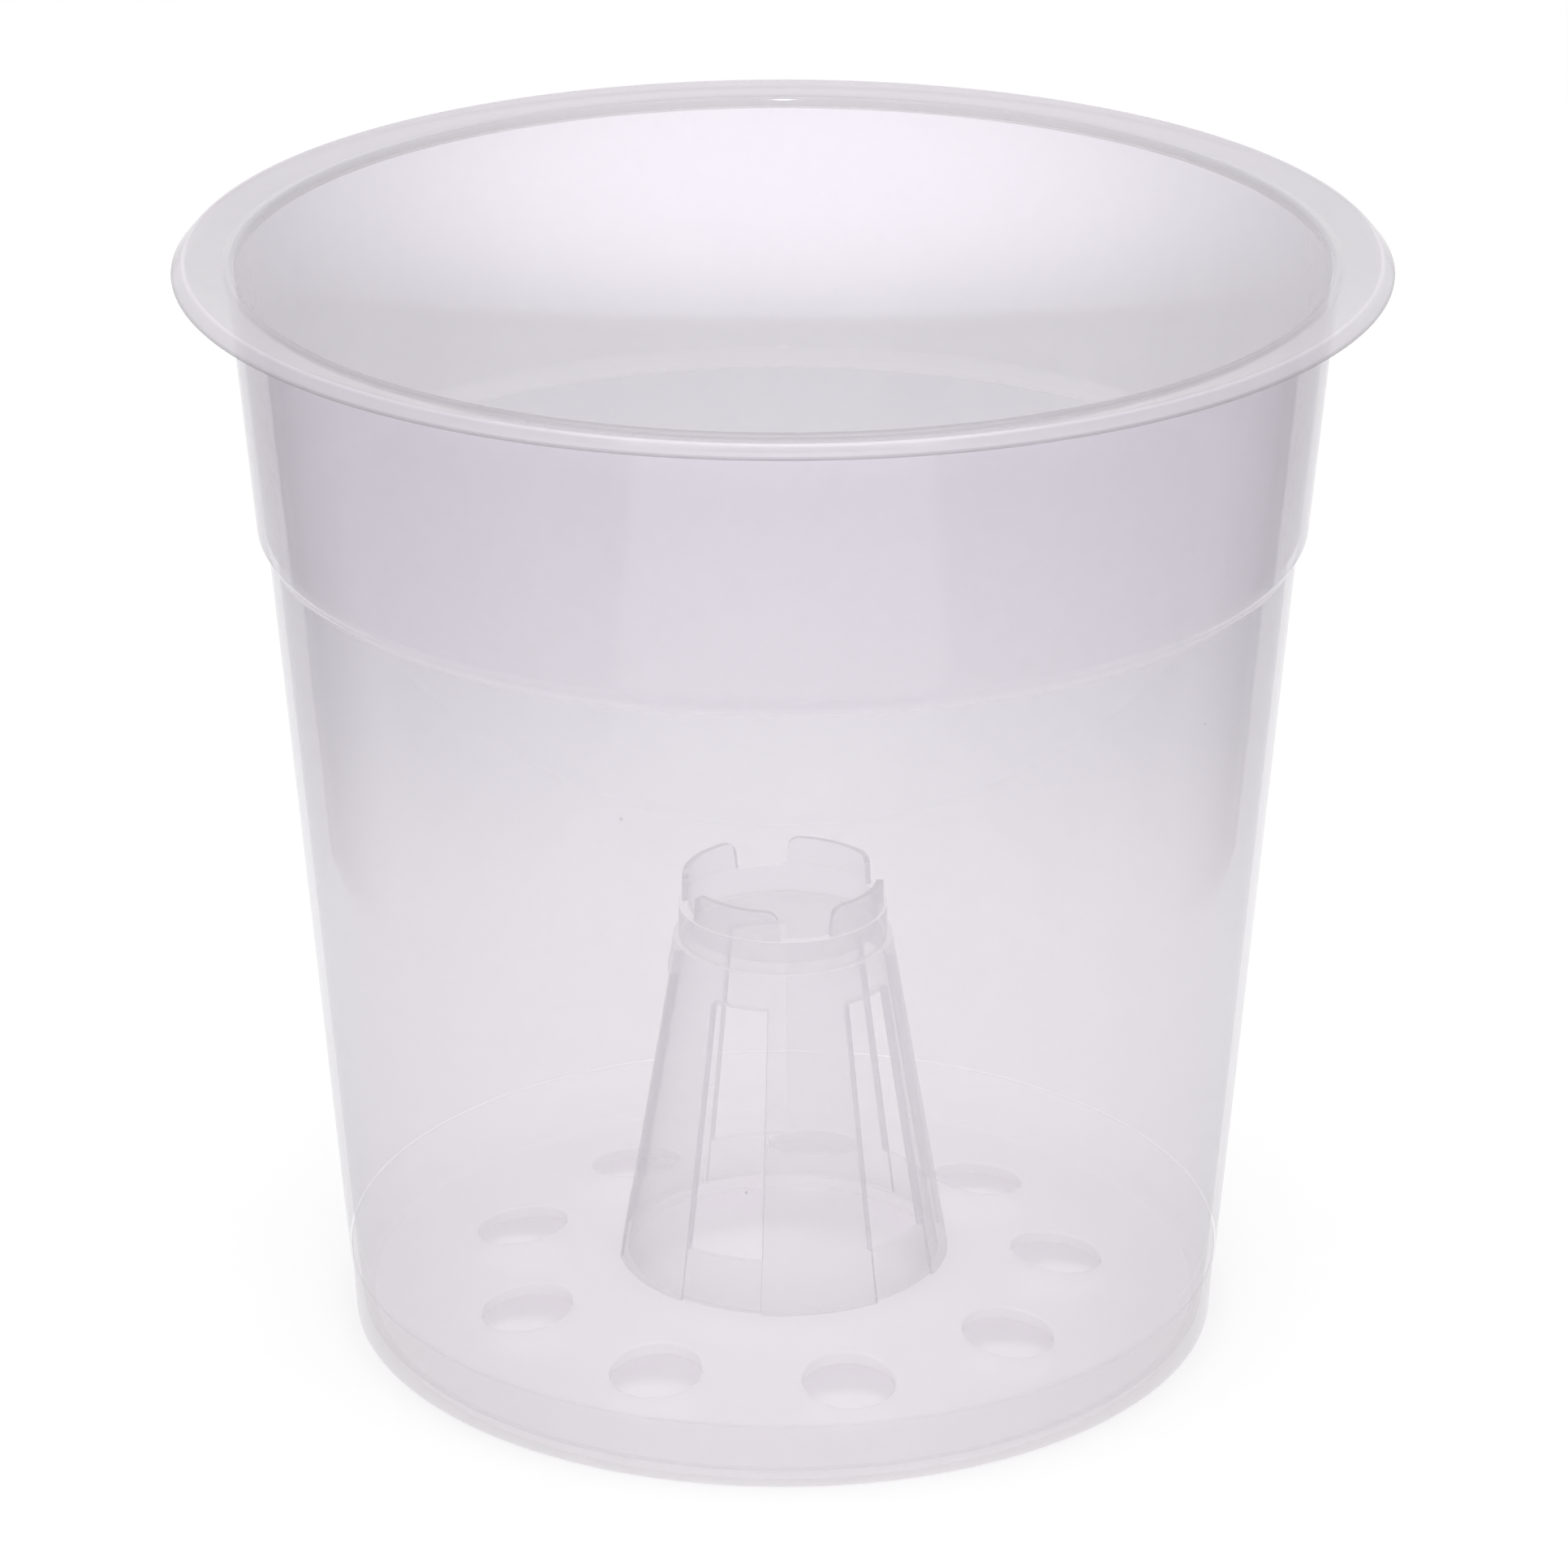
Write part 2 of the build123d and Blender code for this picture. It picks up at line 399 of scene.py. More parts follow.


# The flange is painted darkest under its bead and at the very edge, which is painted shade, and its
# fold has a painted highlight line.
rim_plastic = start_plastic("rim_flange_plastic")
rim_painted_shade_and_highlight = ramp(
    rim_plastic.tree,
    rim_plastic.place["Radius"],
    [
        (0.0537, 0.6),
        (0.05415, 0.6),
        (0.0545, 0.85),
        (0.055, 0.9),
        (0.0585, 0.9),
        (0.0588, 1.4),
        (0.0591, 1.05),
        (0.0597, 1.0),
        (0.0599, 0.55),
    ],
)
rim_face = blend(rim_plastic.tree, 1.0, tone(0.55, 0.3), rim_painted_shade_and_highlight, "MULTIPLY")
rim.data.materials.append(
    finish_plastic(rim_plastic, share=0.3, face=rim_face, grazed=tone(0.74), roughness=0.08)
)

# Collar: the upper stretch of the pot's wall, nearly upright, of the same clear plastic. It ends
# below in the S-shaped stacking step, on which pots nest.
step_height = 0.0022
step_width = 0.0011
collar_taper = 0.0022


def step_side(inset, steps=16):
    """The step and the collar's face above it, inset by that much. The step is a smooth S: its radius
    grows by 3 t squared less 2 t cubed of its width while its height grows evenly with t."""
    t = np.linspace(0, 1, steps)
    low_radius = collar_radius - collar_taper - step_width - inset
    radius = low_radius + step_width * (3 * t**2 - 2 * t**3)
    height = collar_low.z + step_height * t
    top = np.array([[collar_radius - inset, collar_high.z]])
    return np.vstack([np.stack([radius, height], axis=1), top])


def two_sided(plastic, outer, inner):
    """The outer colour on faces that look away from the pot's axis, and the inner on the others."""
    return blend(plastic.tree, plastic.place["Outside"], inner, outer)


collar_points = spun(np.vstack([step_side(0), step_side(wall)[::-1]]))
collar = make_piece(
    "collar_skin",
    collar_points,
    quads(collar_points),
    joined=lambda radius, height: (height < collar_low.z + hair) | (height > collar_high.z - hair),
)
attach(collar, "root")
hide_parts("collar")
collar_plastic = start_plastic("collar_plastic")
collar_face = two_sided(collar_plastic, outer=tone(0.575, 1), inner=(0.56, 0.523, 0.588))
collar.data.materials.append(
    finish_plastic(
        collar_plastic, share=0.36, face=collar_face, grazed=tone(0.5, 1), roughness=0.06
    )
)

# Side wall: the long tapered wall between the foot band and the stacking step, in the same shot of
# plastic. It is clearest near the foot. Its colour darkens on its way up, most of all on the inner
# face: painted shade for the upper wall and the inside of the pot.
side_low, side_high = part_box("side_wall")
wall_taper = 0.0063
side_rows = 24
fade_low_height = 0.03
fade_high_height = 0.084


def smooth_step(tree, value, start, end, low=0.0, high=1.0):
    """From low at start to high at end, along 3 t squared less 2 t cubed."""
    node = tree.nodes.new("ShaderNodeMapRange")
    node.interpolation_type = "SMOOTHSTEP"
    tree.links.new(value, node.inputs["Value"])
    limits = {"From Min": start, "From Max": end, "To Min": low, "To Max": high}
    for label, limit in limits.items():
        node.inputs[label].default_value = limit
    return node.outputs["Result"]


side_way = np.linspace(0, 1, side_rows)
side_height = side_low.z + (side_high.z - side_low.z) * side_way
side_radius = side_high.x - wall_taper + wall_taper * side_way
side_outer = np.stack([side_radius, side_height], axis=1)
side_inner = np.stack([side_radius - wall, side_height], axis=1)
side_points = spun(np.vstack([side_outer, side_inner[::-1]]))
side = make_piece(
    "side_wall_skin",
    side_points,
    quads(side_points),
    joined=lambda radius, height: (height > side_high.z - hair) | (height < side_low.z + hair),
)
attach(side, "root")
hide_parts("side_wall")
side_plastic = start_plastic("side_wall_plastic")
side_fade = (side_plastic.tree, side_plastic.place["Height"], fade_low_height, fade_high_height)
side_painted_shade_rise = smooth_step(*side_fade)
# Painted shade: darker towards the top, and darker on the inner face than on the outer.
side_face = two_sided(
    side_plastic,
    outer=blend(side_plastic.tree, side_painted_shade_rise, tone(0.64, 0.4), tone(0.525, 1)),
    inner=blend(side_plastic.tree, side_painted_shade_rise, tone(0.73, 0.3), (0.335, 0.285, 0.39)),
)
side.data.materials.append(
    finish_plastic(
        side_plastic,
        share=smooth_step(*side_fade, low=0.62, high=0.50),
        face=side_face,
        grazed=tone(0.5, 1),
        roughness=0.08,
        light_share=0.4,
    )
)

# Foot ring: the band at the foot of the wall, set in a hair from it, and the flat ring that carries
# the pot. It is moulded with the wall, and its outer corner is only just broken.
foot_low, foot_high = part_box("foot_ring")
floor_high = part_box("floor")[1]
foot_band_taper = 0.0004
foot_band_inset = 0.0002
floor_thickness = 0.0013
band_radius = foot_high.x
foot_radius = band_radius - foot_band_taper
ring_radius = floor_high.x

# The middle of a face between two points of a circle is nearer to the axis by less than this
bow = 1e-5

foot_outline = soft_outline(
    [  # radius, height, and how far the corner is cut back
        (ring_radius, foot_low.z, joint_cut),
        (foot_radius, foot_low.z, 0.00035),
        (band_radius, foot_high.z, 0.00012),
        (band_radius + foot_band_inset - wall, foot_high.z, joint_cut),
        (foot_radius - wall, floor_thickness, 0.0004),
        (ring_radius, floor_thickness, joint_cut),
    ]
)
foot_points = spun(foot_outline)
foot = make_piece(
    "foot_ring_skin",
    foot_points,
    quads(foot_points),
    joined=lambda radius, height: (height > foot_high.z - hair) | (radius < ring_radius + bow),
)
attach(foot, "root")
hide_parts("foot_ring")
foot_plastic = start_plastic("foot_ring_plastic")
foot_face = two_sided(foot_plastic, outer=tone(0.60, -1), inner=(0.80, 0.755, 0.80))
foot.data.materials.append(
    finish_plastic(
        foot_plastic,
        share=0.58,
        face=foot_face,
        grazed=tone(0.6, -1),
        roughness=0.1,
        light_share=0.4,
    )
)

# Floor: a shallow dome of the same plastic that rises from the standing ring to the cone, with nine
# round drain holes on one circle, moulded through it with softly broken edges.
hole_count = 9
hole_radius = 0.0047
hole_circle = 0.0286
hole_edge = 0.0002
cone_foot_radius = 0.01715
cone_wall = 0.001
floor_rise = 0.0039
bore_radius = cone_foot_radius - cone_wall

# Direction of the pot's mirror plane, on which a drain hole and a gap between lobes are centred
mirror_angle = radians(-76.6)


def floor_top(radius):
    """The floor's upper face rises evenly from the standing ring to the cone's foot."""
    return floor_thickness + floor_rise * (ring_radius - radius) / (ring_radius - cone_foot_radius)


def sector_border(arc_steps=32, side_steps=30):
    """Border of one drain hole's sector of the floor, as radius and angle from the sector's middle:
    out along one side, round the outer arc, back in along the other side and round the inner arc."""
    half = pi / hole_count
    out = np.linspace(0, 1, side_steps, endpoint=False)
    sweep = np.linspace(-half, half, arc_steps, endpoint=False)
    span = ring_radius - bore_radius
    outward, inward = bore_radius + span * out, ring_radius - span * out
    radius = np.concatenate([outward, 0 * sweep + ring_radius, inward, 0 * sweep + bore_radius])
    angle = np.concatenate([0 * out - half, sweep, 0 * out + half, -sweep])
    return radius, angle


def floor_sector(border_radius, border_angle, edge_steps=5, plate_steps=8, crowding=1.3):
    """Plan and drop of one sector. Each border point is joined by a straight line to the point of the
    hole's edge that lies in its direction; along the first of the line the edge is rounded, on a
    quarter circle, and past it the points lie at t to the power crowding. The drop is how far the
    rounding lies under the face."""
    plan_x, plan_y = border_radius * np.cos(border_angle), border_radius * np.sin(border_angle)
    centre = np.array([hole_circle, 0.0])
    away = np.stack([plan_x, plan_y], axis=1) - centre
    reach = np.linalg.norm(away, axis=1)[:, None]
    turn = np.linspace(0, pi / 2, edge_steps)
    near = hole_edge * (1 - np.cos(turn))[None, :]
    far_share = np.linspace(0, 1, plate_steps + 1)[None, 1:] ** crowding
    far = hole_edge + (reach - hole_radius - hole_edge) * far_share
    distance = hole_radius + np.hstack([near + 0 * reach, far])
    drop = np.concatenate([hole_edge * (1 - np.sin(turn)), 0 * far_share[0]])
    plan = centre + distance[..., None] * (away / reach)[:, None, :]
    return plan, drop + 0 * distance


border_radius, border_angle = sector_border()
sector_plan, sector_drop = floor_sector(border_radius, border_angle)
sector_radius = np.linalg.norm(sector_plan, axis=-1)
sector_angle = np.arctan2(sector_plan[..., 1], sector_plan[..., 0])
upper_height = floor_top(sector_radius) - sector_drop
lower_height = floor_top(sector_radius) - floor_thickness + sector_drop
hole_angle = mirror_angle + 2 * pi / hole_count * np.arange(hole_count)
floor_angle = sector_angle[None] + hole_angle[:, None, None]
floor_plan = [sector_radius * np.cos(floor_angle), sector_radius * np.sin(floor_angle)]
floor_upper = np.stack(floor_plan + [upper_height + 0 * floor_angle], axis=-1)
floor_lower = np.stack(floor_plan + [lower_height + 0 * floor_angle], axis=-1)
floor_points = np.stack([floor_upper, floor_lower])

# Upper face, lower face, the holes' walls, and the walls along the floor's two arcs
upper, lower = numbered(floor_points)
upper_next, lower_next = np.roll(upper, -1, axis=1), np.roll(lower, -1, axis=1)
on_arc = np.isclose(border_radius, ring_radius) | np.isclose(border_radius, bore_radius)
on_arc &= np.isclose(np.roll(border_radius, -1), border_radius)
here, beyond = (..., slice(0, -1)), (..., slice(1, None))
floor_faces = [
    np.stack([upper[here], upper[beyond], upper_next[beyond], upper_next[here]], axis=-1),
    np.stack([lower[here], lower_next[here], lower_next[beyond], lower[beyond]], axis=-1),
    np.stack([upper[..., 0], upper_next[..., 0], lower_next[..., 0], lower[..., 0]], axis=-1),
    np.stack([upper[..., -1], lower[..., -1], lower_next[..., -1], upper_next[..., -1]], axis=-1),
]
floor_faces[-1] = floor_faces[-1][:, on_arc]
floor = make_piece(
    "floor_skin",
    floor_points,
    np.vstack([faces.reshape(-1, 4) for faces in floor_faces]),
    joined=lambda radius, height: radius > ring_radius - bow,
)
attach(floor, "root")
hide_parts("floor")
floor_plastic = start_plastic("floor_plastic")
floor.data.materials.append(
    finish_plastic(
        floor_plastic,
        share=0.3,
        face=tone(0.89, -1),
        grazed=tone(0.8, -1),
        roughness=0.12,
        light_share=0.5,
    )
)

# Air cone: a hollow cone that stands on the floor and is open underneath, so that air reaches the
# roots. Five tall slots are moulded through it, each in a shallow channel that runs to its foot.
cone_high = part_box("slotted_cone")[1]
slot_count = 5
slot_half = radians(15)
slot_low_height = 0.0106
slot_high_height = 0.0367
channel_depth = 0.00035
cone_taper = 0.00595
cone_foot_height = floor_thickness + floor_rise
slot_steps = 14
rib_steps = 20

# The foot of the cone follows the floor, and the middles of its faces rise by less than this
foot_face_rise = 0.0003


def cone_radius(height):
    """The cone narrows evenly from its foot to its top."""
    cone_rise = cone_high.z - cone_foot_height
    return cone_foot_radius - cone_taper * (height - cone_foot_height) / cone_rise


def round_cone(radius, height):
    """Points at those radii and heights, round the pot's axis at the cone's own angles."""
    angle = cone_angle[:, None]
    return np.stack([radius * np.cos(angle), radius * np.sin(angle), height + 0 * angle], axis=-1)


def shell(outer, inner, kept):
    """Faces of a thin closed shell. outer and inner are grids of point numbers for its two sides;
    the first direction closes on itself. Where kept is true a cell has its two faces, and where a
    kept cell meets a left-out cell or the grid's end, one wall joins the sides."""
    outer_next, inner_next = np.roll(outer, -1, axis=0), np.roll(inner, -1, axis=0)
    low, high = (slice(None), slice(0, -1)), (slice(None), slice(1, None))
    padded = np.pad(kept, ((0, 0), (1, 1)))
    ends_above = kept & ~padded[:, 2:]
    ends_below = kept & ~padded[:, :-2]
    ends_after = kept & ~np.roll(kept, -1, axis=0)
    ends_before = kept & ~np.roll(kept, 1, axis=0)
    sides_and_walls = [
        ((outer[low], outer_next[low], outer_next[high], outer[high]), kept),
        ((inner[low], inner[high], inner_next[high], inner_next[low]), kept),
        ((outer[high], outer_next[high], inner_next[high], inner[high]), ends_above),
        ((outer_next[low], outer[low], inner[low], inner_next[low]), ends_below),
        ((outer_next[high], outer_next[low], inner_next[low], inner_next[high]), ends_after),
        ((outer[low], outer[high], inner[high], inner[low]), ends_before),
    ]
    return np.vstack([np.stack(corners, axis=-1)[where] for corners, where in sides_and_walls])


pitch = 2 * pi / slot_count
slot_sweep = np.linspace(-slot_half, slot_half, slot_steps + 1)
rib_sweep = np.linspace(slot_half, pitch - slot_half, rib_steps + 1)
one_pitch = np.concatenate([slot_sweep, rib_sweep])
first_slot = mirror_angle + pitch / 2
cone_angle = (first_slot + pitch * np.arange(slot_count)[:, None] + one_pitch[None]).ravel()
column_channel = np.concatenate([np.ones(slot_steps + 1), np.zeros(rib_steps + 1)])
low_rows = np.linspace(cone_foot_height, slot_low_height, 6)
slot_rows = np.linspace(slot_low_height, slot_high_height, 22)[1:]
top_rows = np.linspace(slot_high_height, cone_high.z, 5)
row_height = np.concatenate([low_rows, slot_rows, top_rows])
row_channel = np.concatenate([np.ones(low_rows.size + slot_rows.size), np.zeros(top_rows.size)])
cone_depth = channel_depth * np.tile(column_channel, slot_count)[:, None] * row_channel[None]
outer_radius = cone_radius(row_height)[None] - cone_depth
inner_radius = (cone_radius(row_height) - cone_wall)[None] + 0 * cone_depth
inner_height = np.append(floor_top(bore_radius), row_height[1:])
cone_outer = round_cone(outer_radius, row_height[None])
cone_inner = round_cone(inner_radius, inner_height[None])
cone_points = np.stack([cone_outer, cone_inner])
row_middle = (row_height[:-1] + row_height[1:]) / 2
row_in_slot = (row_middle > slot_low_height) & (row_middle < slot_high_height)
column_in_slot = np.tile(np.arange(one_pitch.size) < slot_steps, slot_count)
cone = make_piece(
    "slotted_cone_skin",
    cone_points,
    shell(*numbered(cone_points), kept=~(column_in_slot[:, None] & row_in_slot[None])),
    joined=lambda radius, height: height < cone_foot_height + foot_face_rise,
)
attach(cone, "root")
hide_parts("slotted_cone")

# Faces that a small part shows more strongly than its walls: those that look up, and the cut faces
# at the sides of a slot or lobe, whose normals are neither upright nor towards the axis, so that
# the squares of both parts together stay under a limit.
edge_group, edge_given, edge_out, edge_place = new_group(
    "upper_and_cut_faces", {"Upper from": 0.35, "Cut under": 0.5}, ("Upper", "Cut")
)
edge_normal = edge_group.nodes.new("ShaderNodeNewGeometry").outputs["True Normal"]
edge_plan = vector_maths(edge_group, "MULTIPLY", edge_place, (1, 1, 0))
edge_way = vector_maths(edge_group, "NORMALIZE", edge_plan)
edge_radial = vector_maths(edge_group, "DOT_PRODUCT", edge_way, edge_normal)
edge_axes = edge_group.nodes.new("ShaderNodeSeparateXYZ")
edge_group.links.new(edge_normal, edge_axes.inputs[0])
edge_upright = edge_axes.outputs["Z"]
edge_squares = maths(
    edge_group,
    "ADD",
    product(edge_group, edge_radial, edge_radial),
    product(edge_group, edge_upright, edge_upright),
)
looks_up = maths(edge_group, "GREATER_THAN", edge_upright, edge_given["Upper from"])
is_cut = maths(edge_group, "LESS_THAN", edge_squares, edge_given["Cut under"])
edge_group.links.new(looks_up, edge_out["Upper"])
edge_group.links.new(is_cut, edge_out["Cut"])


def edge_covers(plastic, upper_cloud, upper_painted_light):
    """Covers for a plastic's upper and cut faces. The cloud and the grey of the upper ones follow
    stops of height; the grey is a painted highlight where it is light and painted shade where it is
    dark. The cut faces get a dark grey, which is painted shade."""
    cut_cloud = 0.35
    cut_painted_shade = (0.42, 0.385, 0.43)
    tree, height = plastic.tree, plastic.place["Height"]
    edges = placed(tree, edge_group)
    upper_cover = (edges["Upper"], ramp(tree, height, upper_cloud), ramp(tree, height, upper_painted_light))
    return [upper_cover, (edges["Cut"], cut_cloud, cut_painted_shade)]


cone_plastic = start_plastic("slotted_cone_plastic")
# Painted shade: the cone is darker towards its foot, where it meets the floor.
cone_foot_painted_shade = ramp(
    cone_plastic.tree,
    cone_plastic.place["Height"],
    [(0.005, 0.5), (0.0075, 0.75), (0.011, 1.0), (0.0404, 1.0)],
)
cone_face = two_sided(cone_plastic, outer=tone(0.58, -1), inner=tone(0.90, -1))
cone_face = blend(cone_plastic.tree, 1.0, cone_face, cone_foot_painted_shade, "MULTIPLY")
# The upper faces carry a painted highlight, lightest at the top, and the cut faces painted shade.
cone_covers = edge_covers(
    cone_plastic,
    upper_cloud=[(0.005, 0.1), (0.039, 0.2), (0.0404, 0.5)],
    upper_painted_light=[(0.005, 0.7), (0.039, 0.7), (0.0404, 0.85)],
)
cone.data.materials.append(
    finish_plastic(
        cone_plastic,
        share=0.76,
        face=cone_face,
        grazed=tone(0.42),
        roughness=0.12,
        edge=0.6,
        edge_power=4.0,
        light_share=0.7,
        covers=cone_covers,
    )
)

# Crown: the closed top of the cone, a low ring with a recessed roof and four rounded lobes, moulded
# with the cone. It keeps the growing mix from sealing the cone.
crown_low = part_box("cone_crown")[0]
crown_radius = 0.01065
crown_wall = 0.001
roof_thickness = 0.0008
ring_height = 0.0034
lobe_height = 0.0031
lobe_count = 4
lobe_half = radians(29)
lobe_corner = 0.0013
lobe_inset = 0.00035
seat_width = 0.00045
crown_around = 240
wall_steps = 5
disc_steps = 7
base_height = crown_low.z
roof_height = base_height + roof_thickness
ring_top = base_height + ring_height
crown_bore = crown_radius - crown_wall

# Height of the crown's top edge round the axis: the ring's, and on a lobe a quarter circle of
# lobe_corner up from each of the lobe's sides
crown_angle = mirror_angle + np.linspace(0, 2 * pi, crown_around, endpoint=False)
lobe_middle = pi / lobe_count
from_lobe = np.abs((crown_angle - mirror_angle) % (2 * lobe_middle) - lobe_middle)
inside_edge = (lobe_half - from_lobe) * crown_radius
rise = np.clip(inside_edge / lobe_corner, 0, 1)
rounded = np.sqrt(np.clip(1 - (1 - rise) ** 2, 0, 1))
lobe_rise = np.where(inside_edge > 0, lobe_height - lobe_corner + lobe_corner * rounded, 0)
crown_top = (ring_top + lobe_rise)[:, None]

# The profile: out along the base, up the ring, up the lobe, down the bore and in along the roof
way_up = np.linspace(0, 1, wall_steps)
one_each = np.ones((crown_around, 1))
crown_profile_radius = np.concatenate(
    [
        np.linspace(0, crown_radius - seat_width, disc_steps),
        0 * way_up + crown_radius,
        0 * way_up + crown_radius - lobe_inset,
        0 * way_up + crown_bore,
        np.linspace(1, 0, disc_steps + 1)[1:] * crown_bore,
    ]
)
crown_profile_height = np.hstack(
    [
        one_each * np.full(disc_steps, base_height),
        one_each * (base_height + ring_height * way_up),
        ring_top + (crown_top - ring_top) * way_up,
        (roof_height + (crown_top - roof_height) * way_up)[:, ::-1],
        one_each * np.full(disc_steps, roof_height),
    ]
)
crown_points = np.stack(
    [
        crown_profile_radius[None] * np.cos(crown_angle)[:, None],
        crown_profile_radius[None] * np.sin(crown_angle)[:, None],
        crown_profile_height,
    ],
    axis=-1,
)
crown_kept = np.ones(crown_points.shape[:2], bool)
crown_kept[:, -1] = False
crown = make_piece(
    "cone_crown_skin",
    crown_points,
    quads(crown_points, crown_kept),
    joined=lambda radius, height: (height < base_height + hair)
    & (radius > crown_radius - seat_width),
)
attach(crown, "root")
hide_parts("cone_crown")
crown_plastic = start_plastic("cone_crown_plastic")
# The ring's top carries a painted highlight, and the lobes' tops and the cut faces painted shade.
crown_covers = edge_covers(
    crown_plastic,
    upper_cloud=[(0.0412, 0.0), (0.0425, 0.0), (0.0437, 0.5), (0.044, 0.45), (0.047, 0.4)],
    upper_painted_light=[
        (0.0412, 0.65),
        (0.0425, 0.65),
        (0.0437, 0.95),
        (0.044, 0.9),
        (0.0446, 0.45),
        (0.047, 0.4),
    ],
)
crown.data.materials.append(
    finish_plastic(
        crown_plastic,
        share=0.74,
        face=two_sided(crown_plastic, outer=tone(0.58, -1), inner=tone(0.8, -1)),
        grazed=tone(0.35),
        roughness=0.12,
        edge=0.7,
        edge_power=4.0,
        light_share=0.7,
        covers=crown_covers,
    )
)


# Studio floor: a wide sheet of pale paper, a hair under the pot so that the two don't flicker. It
# glows a little except under the pot, which makes it white to the camera and in mirror images; under
# the pot it is painted a lilac shadow instead.
def flat_sheet(name, corners, material):
    """A flat sheet of the studio, with its corners in order round it."""
    mesh = bpy.data.meshes.new(name)
    mesh.from_pydata(corners, [], [tuple(range(len(corners)))])
    mesh.materials.append(material)
    sheet = bpy.data.objects.new(name, mesh)
    bpy.context.scene.collection.objects.link(sheet)
    return sheet


paper_half = 3.0
paper_height = -0.00005
paper_glow_level = 0.12
glow_from_radius = 0.035
glow_to_radius = 0.048
paper = empty_material("white_paper")
paper_tree = paper.node_tree
paper_rays = paper_tree.nodes.new("ShaderNodeLightPath").outputs
paper_place = paper_tree.nodes.new("ShaderNodeTexCoord").outputs["Object"]
paper_radius = vector_maths(paper_tree, "LENGTH", paper_place)
paper_outside_painted_shade = smooth_step(paper_tree, paper_radius, glow_from_radius, glow_to_radius)
paper_seen = maths(
    paper_tree, "MAXIMUM", paper_rays["Is Camera Ray"], paper_rays["Is Glossy Ray"]
)
paper_white = paper_tree.nodes.new("ShaderNodeBsdfDiffuse")
paper_glow = paper_tree.nodes.new("ShaderNodeEmission")
paper_both = paper_tree.nodes.new("ShaderNodeAddShader")
paper_output = paper_tree.nodes.new("ShaderNodeOutputMaterial")
# Under the pot the paper is painted a lilac grey without glow: a painted shadow, tinted as light
# through the plastic would be.
for source, target in (
    (blend(paper_tree, paper_outside_painted_shade, (0.9, 0.866, 0.9), (0.9, 0.9, 0.9)), paper_white.inputs["Color"]),
    (product(paper_tree, paper_seen, paper_glow_level, paper_outside_painted_shade), paper_glow.inputs["Strength"]),
    (paper_white.outputs[0], paper_both.inputs[0]),
    (paper_glow.outputs[0], paper_both.inputs[1]),
    (paper_both.outputs[0], paper_output.inputs[0]),
):
    paper_tree.links.new(source, target)
paper_corners = [
    (-paper_half, -paper_half, paper_height),
    (paper_half, -paper_half, paper_height),
    (paper_half, paper_half, paper_height),
    (-paper_half, paper_half, paper_height),
]
flat_sheet("studio_floor", paper_corners, paper)

# Surroundings: white to the camera, in mirror images and through the plastic, and a softer white as
# the light of the room.
room_level = 0.62
world = bpy.data.worlds.new("studio")
bpy.context.scene.world = world
world.use_nodes = True
world_tree = world.node_tree
world_tree.nodes.clear()
world_rays = world_tree.nodes.new("ShaderNodeLightPath").outputs
world_shown = maths(
    world_tree, "MAXIMUM", world_rays["Is Camera Ray"], world_rays["Is Glossy Ray"]
)
world_shown = maths(world_tree, "MAXIMUM", world_shown, world_rays["Is Transmission Ray"])
world_level = maths(world_tree, "ADD", product(world_tree, world_shown, 1.0 - room_level), room_level)
world_light = world_tree.nodes.new("ShaderNodeBackground")
world_light.inputs["Color"].default_value = (1, 1, 1, 1)
world_output = world_tree.nodes.new("ShaderNodeOutputWorld")
world_tree.links.new(world_level, world_light.inputs["Strength"])
world_tree.links.new(world_light.outputs[0], world_output.inputs[0])


# Glowing wall: a wide low card in front of the pot, brightest in its middle, that lights the front
# of the pot and is plain white in mirror images.
def card(name, corners):
    """A flat glowing card, hidden from the camera, that casts no shadow. Gives the card, its node
    tree and its glow, whose strength is its radiance, where 1 is white."""
    material = empty_material(name)
    tree = material.node_tree
    glow = tree.nodes.new("ShaderNodeEmission")
    output = tree.nodes.new("ShaderNodeOutputMaterial")
    tree.links.new(glow.outputs[0], output.inputs[0])
    sheet = flat_sheet(name, corners, material)
    sheet.visible_camera = False
    sheet.visible_shadow = False
    return sheet, tree, glow


card_height = 0.001
window_half = 0.8
window_top = 0.24
window_y = -0.6
window_level = 4.0
window_spread = 0.4
euler_number = 2.718
window_corners = [
    (-window_half, window_y, card_height),
    (window_half, window_y, card_height),
    (window_half, window_y, window_top),
    (-window_half, window_y, window_top),
]
_, window_tree, window_glow = card("window_card", window_corners)
window_place = window_tree.nodes.new("ShaderNodeTexCoord").outputs["Object"]
window_axes = window_tree.nodes.new("ShaderNodeSeparateXYZ")
window_tree.links.new(window_place, window_axes.inputs[0])
window_mirrored = window_tree.nodes.new("ShaderNodeLightPath").outputs["Is Glossy Ray"]

# It fades to its sides as e to the power of minus the square of x over the spread
window_across = product(window_tree, window_axes.outputs["X"], 1 / window_spread)
window_power = product(window_tree, window_across, window_across, -1.0)
window_fall = maths(window_tree, "POWER", euler_number, window_power)
window_direct = product(window_tree, window_fall, window_level, rest(window_tree, window_mirrored))
window_strength = maths(window_tree, "ADD", window_direct, window_mirrored)
window_tree.links.new(window_strength, window_glow.inputs["Strength"])


# Lamps: a broad soft panel straight above, and a narrow beam that lights the inner back wall just
# under the rim, where the photograph has its bright patch.
def aimed(name, lamp, place, target):
    """A lamp at place that faces target."""
    holder = bpy.data.objects.new(name, lamp)
    holder.location = place
    holder.rotation_euler = (Vector(target) - Vector(place)).to_track_quat("-Z", "Y").to_euler()
    bpy.context.scene.collection.objects.link(holder)
    return holder


